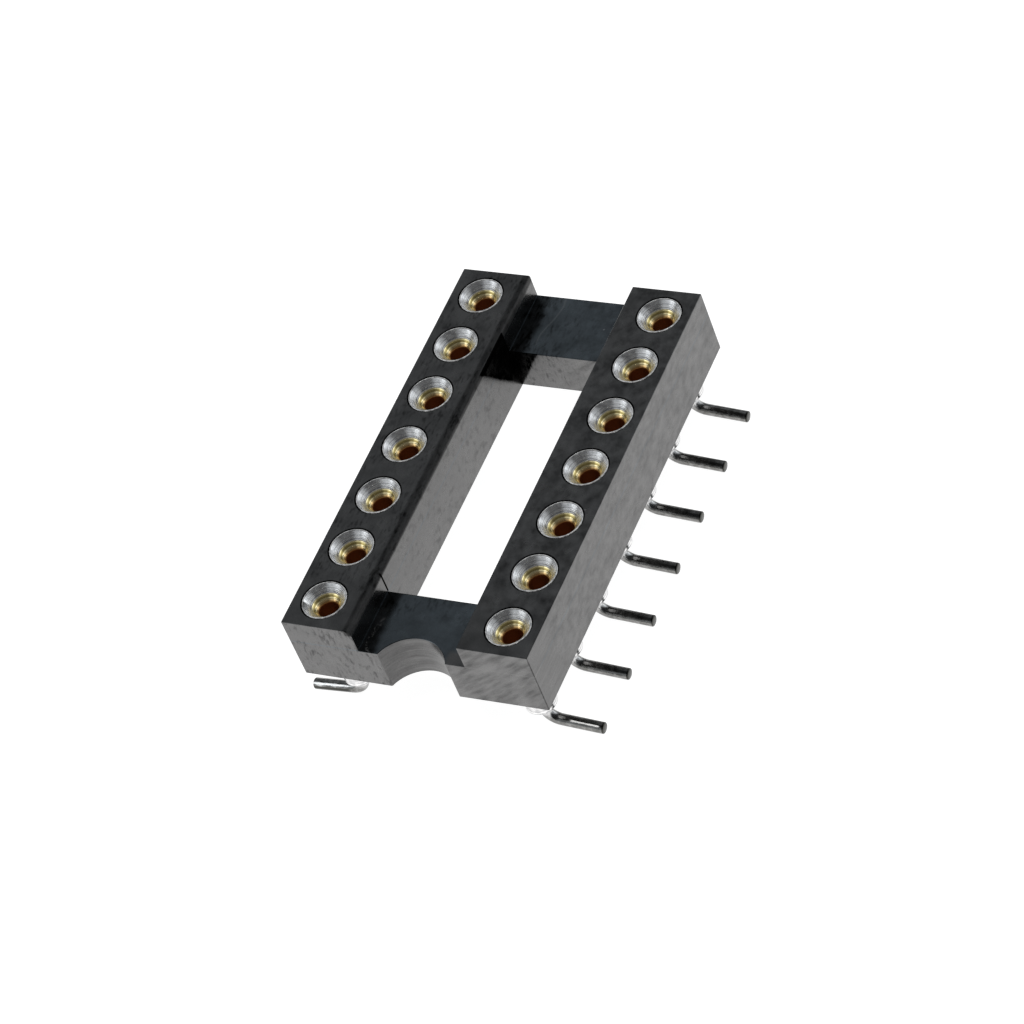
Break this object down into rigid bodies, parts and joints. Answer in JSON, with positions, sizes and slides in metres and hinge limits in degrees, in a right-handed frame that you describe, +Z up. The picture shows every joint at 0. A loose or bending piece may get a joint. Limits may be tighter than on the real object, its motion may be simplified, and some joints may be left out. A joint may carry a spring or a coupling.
{
  "type": "integrated circuit socket",
  "caption": "Dual-in-line chip socket: open black frame, turned contacts with funnel mouths and gold clips, tails bent out into surface-mount feet.",
  "frame": {"origin": "on the board, under the middle of the outline; the feet's tips touch the board at Z = 0", "axes": "+Z up out of the board, towards the mouths; Y along the rows, with the notched end at -Y; X across the rows, with contact 1 at +X beside the notch"},
  "size_m": [0.0122, 0.0178, 0.0057],
  "materials": {
    "moulding": "black glass-filled moulding with a satin skin",
    "tinned_sleeve": "turned brass with a dull tin plating",
    "gold_clip": "formed copper alloy with a gold plating"
  },
  "bodies": {
    "root": {"insulator": "moulding", "contact_01": "tinned_sleeve", "contact_02": "tinned_sleeve", "contact_03": "tinned_sleeve", "contact_04": "tinned_sleeve", "contact_05": "tinned_sleeve", "contact_06": "tinned_sleeve", "contact_07": "tinned_sleeve", "contact_08": "tinned_sleeve", "contact_09": "tinned_sleeve", "contact_10": "tinned_sleeve", "contact_11": "tinned_sleeve", "contact_12": "tinned_sleeve", "contact_13": "tinned_sleeve", "contact_14": "tinned_sleeve", "clip_01": "gold_clip", "clip_02": "gold_clip", "clip_03": "gold_clip", "clip_04": "gold_clip", "clip_05": "gold_clip", "clip_06": "gold_clip", "clip_07": "gold_clip", "clip_08": "gold_clip", "clip_09": "gold_clip", "clip_10": "gold_clip", "clip_11": "gold_clip", "clip_12": "gold_clip", "clip_13": "gold_clip", "clip_14": "gold_clip"}
  },
  "joints": []
}
